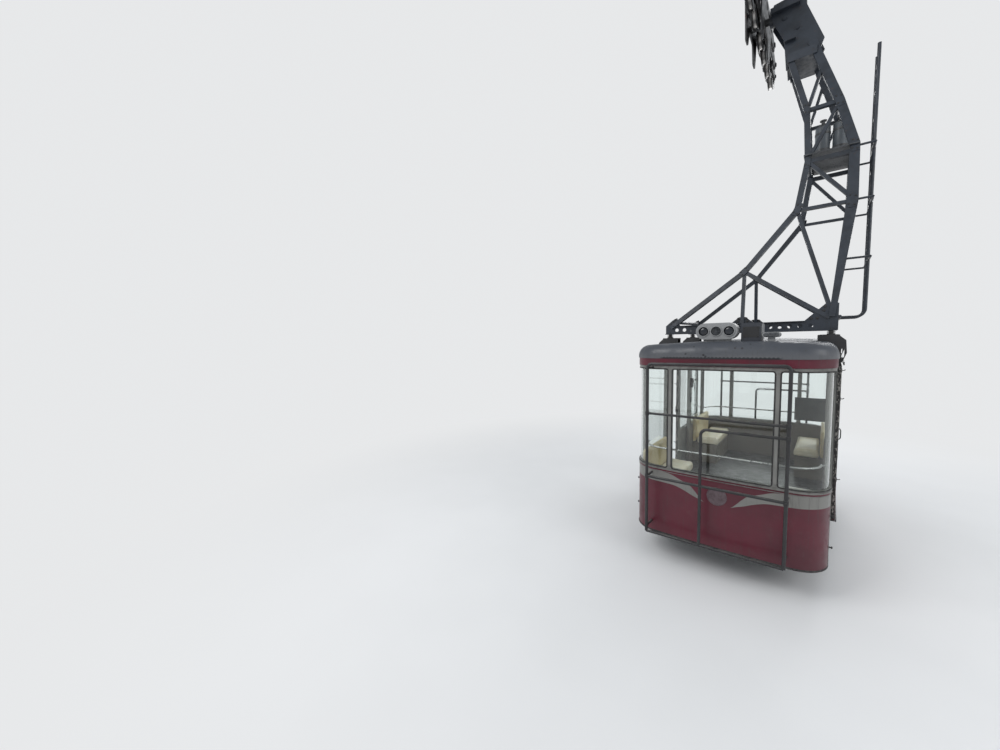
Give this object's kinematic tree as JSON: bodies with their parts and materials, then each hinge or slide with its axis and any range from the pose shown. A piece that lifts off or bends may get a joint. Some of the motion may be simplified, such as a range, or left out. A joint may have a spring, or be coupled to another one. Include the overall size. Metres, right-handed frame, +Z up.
{
  "type": "cable car cabin",
  "caption": "Aerial tramway cabin with bent hanger truss, rope carriage with rolling wheels, glazed ends, pipe racks, bench seats and sliding doors.",
  "frame": {"origin": "on top of the track rope, midway between the carriage wheels", "axes": "+Z up, +Y along the rope towards the far end, +X across towards the hanger's column"},
  "size_m": [2.242, 4.084, 6.73],
  "materials": {
    "red_panel": "satin",
    "grey_frame": "satin",
    "roof_skin": "weathered",
    "floor_cover": "matte",
    "dark_steel": "satin",
    "door_panel": "satin",
    "rail_steel": "satin",
    "glass": "clear",
    "cushion": "vinyl",
    "seat_base": "satin",
    "board": "matte",
    "lamp_housing": "satin",
    "rubber": "matte",
    "carriage_steel": "greased"
  },
  "bodies": {
    "carriage": {"main_beam": "carriage_steel", "main_rockers": "carriage_steel", "wheel_rockers": "carriage_steel"},
    "wheel_1_body": {"wheel_1": "carriage_steel"},
    "wheel_2_body": {"wheel_2": "carriage_steel"},
    "wheel_3_body": {"wheel_3": "carriage_steel"},
    "wheel_4_body": {"wheel_4": "carriage_steel"},
    "wheel_5_body": {"wheel_5": "carriage_steel"},
    "wheel_6_body": {"wheel_6": "carriage_steel"},
    "wheel_7_body": {"wheel_7": "carriage_steel"},
    "wheel_8_body": {"wheel_8": "carriage_steel"},
    "cabin": {"end_panel_near": "red_panel", "end_panel_far": "red_panel", "side_panels_left": "red_panel", "side_panels_right": "red_panel", "roof_band": "red_panel", "end_frame_near": "grey_frame", "end_frame_far": "grey_frame", "side_frame_left": "grey_frame", "side_frame_right": "grey_frame", "roof": "roof_skin", "floor": "floor_cover", "underframe": "dark_steel", "roof_brackets": "dark_steel", "hanger_frame_near": "dark_steel", "hanger_frame_far": "dark_steel", "hanger_ties": "dark_steel", "hanger_deck": "dark_steel", "hanger_cylinders": "dark_steel", "hanger_head": "dark_steel", "hanger_ladder": "dark_steel", "pipe_rack_near": "dark_steel", "pipe_rack_far": "dark_steel", "handrail_near": "dark_steel", "handrail_far": "dark_steel", "door_rails_left": "rail_steel", "door_rails_right": "rail_steel", "end_glass_near": "glass", "end_glass_far": "glass", "side_glass_left": "glass", "side_glass_right": "glass", "seat_cushions": "cushion", "seat_backs": "cushion", "seat_bases": "seat_base", "seat_base_bare": "seat_base", "blank_board": "board", "lamp_pod": "lamp_housing", "roof_boxes": "lamp_housing", "spring_mounts": "rubber"},
    "left_door": {"door_left": "door_panel", "door_glass_left": "glass"},
    "right_door": {"door_right": "door_panel", "door_glass_right": "glass"}
  },
  "joints": [
    {"name": "wheel_1_spin", "type": "hinge", "parent": "carriage", "child": "wheel_1_body", "pos_m": [0, -1.4, 0.14], "axis": [1, 0, 0], "continuous": true},
    {"name": "wheel_2_spin", "type": "hinge", "parent": "carriage", "child": "wheel_2_body", "pos_m": [0, -1.02, 0.14], "axis": [1, 0, 0], "continuous": true},
    {"name": "wheel_3_spin", "type": "hinge", "parent": "carriage", "child": "wheel_3_body", "pos_m": [0, -0.64, 0.14], "axis": [1, 0, 0], "continuous": true},
    {"name": "wheel_4_spin", "type": "hinge", "parent": "carriage", "child": "wheel_4_body", "pos_m": [0, -0.26, 0.14], "axis": [1, 0, 0], "continuous": true},
    {"name": "wheel_5_spin", "type": "hinge", "parent": "carriage", "child": "wheel_5_body", "pos_m": [0, 0.26, 0.14], "axis": [1, 0, 0], "continuous": true},
    {"name": "wheel_6_spin", "type": "hinge", "parent": "carriage", "child": "wheel_6_body", "pos_m": [0, 0.64, 0.14], "axis": [1, 0, 0], "continuous": true},
    {"name": "wheel_7_spin", "type": "hinge", "parent": "carriage", "child": "wheel_7_body", "pos_m": [0, 1.02, 0.14], "axis": [1, 0, 0], "continuous": true},
    {"name": "wheel_8_spin", "type": "hinge", "parent": "carriage", "child": "wheel_8_body", "pos_m": [0, 1.4, 0.14], "axis": [1, 0, 0], "continuous": true},
    {"name": "cabin_swing", "type": "hinge", "parent": "carriage", "child": "cabin", "pos_m": [0.3, 0, 0.13], "axis": [1, 0, 0], "range_deg": [-30, 30]},
    {"name": "left_door_slide", "type": "slide", "parent": "cabin", "child": "left_door", "axis": [0, 1, 0], "range_m": [-0.71, 0.37]},
    {"name": "right_door_slide", "type": "slide", "parent": "cabin", "child": "right_door", "axis": [0, 1, 0], "range_m": [0, 1.08]}
  ]
}
